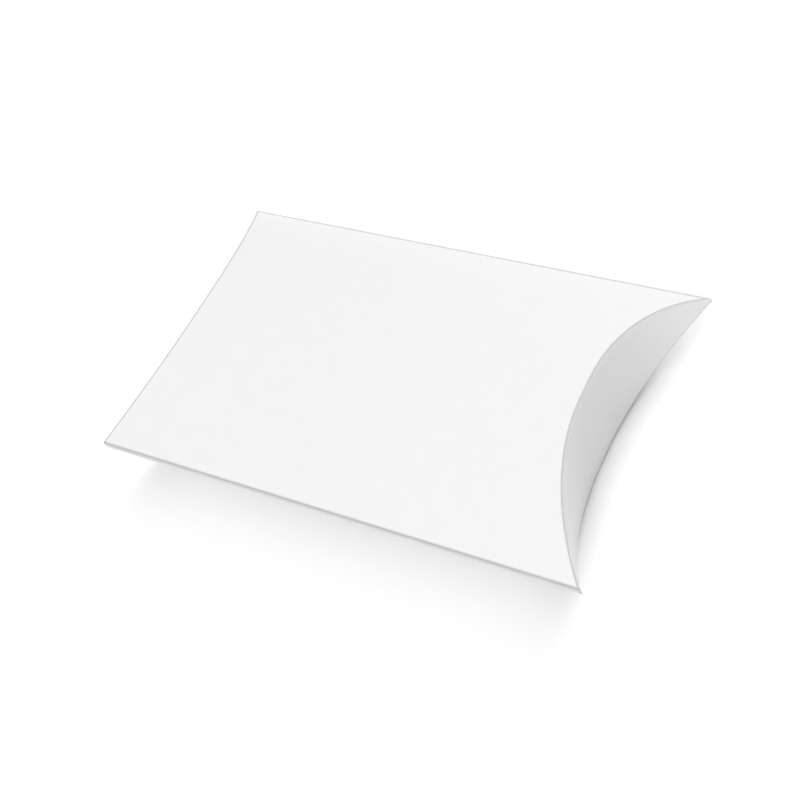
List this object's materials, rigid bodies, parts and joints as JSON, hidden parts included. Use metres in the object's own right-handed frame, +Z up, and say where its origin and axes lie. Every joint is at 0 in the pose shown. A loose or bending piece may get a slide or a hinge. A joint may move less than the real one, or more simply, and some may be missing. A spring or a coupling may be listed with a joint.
{
  "type": "pillow box",
  "caption": "Folded white card pillow box: an arched sleeve glued along one edge, shut at both ends by curved tuck flaps that fold in over each other.",
  "frame": {"origin": "middle of the lower panel's flat band, on which the box lies", "axes": "+X along the box, from one flapped end to the other; +Y from the glued front edge to the folded rear edge; +Z up"},
  "size_m": [0.144, 0.0894, 0.031],
  "materials": {
    "white_board": "smooth uncoated white solid board",
    "glue": "dried white glue film"
  },
  "bodies": {
    "sleeve": {"upper_panel": "white_board", "lower_panel": "white_board", "rear_crease": "white_board", "front_crease": "white_board", "glue_tab": "white_board", "glue_line": "glue"},
    "right_outer": {"right_outer_flap": "white_board"},
    "right_inner": {"right_inner_flap": "white_board"},
    "left_outer": {"left_outer_flap": "white_board"},
    "left_inner": {"left_inner_flap": "white_board"}
  },
  "joints": [
    {"name": "right_outer_fold", "type": "hinge", "parent": "sleeve", "child": "right_outer", "pos_m": [0.05775, 0, 0.031], "axis": [0, -1, 0], "range_deg": [0, 120]},
    {"name": "right_inner_fold", "type": "hinge", "parent": "sleeve", "child": "right_inner", "pos_m": [0.05695, 0, 0], "axis": [0, 1, 0], "range_deg": [0, 90]},
    {"name": "left_outer_fold", "type": "hinge", "parent": "sleeve", "child": "left_outer", "pos_m": [-0.05775, 0, 0.031], "axis": [0, 1, 0], "range_deg": [0, 120]},
    {"name": "left_inner_fold", "type": "hinge", "parent": "sleeve", "child": "left_inner", "pos_m": [-0.05695, 0, 0], "axis": [0, -1, 0], "range_deg": [0, 90]}
  ],
  "couplings": [
    {"joint": "right_inner_fold", "follows": "right_outer_fold", "ratio": 0.75},
    {"joint": "left_inner_fold", "follows": "left_outer_fold", "ratio": 0.75}
  ]
}
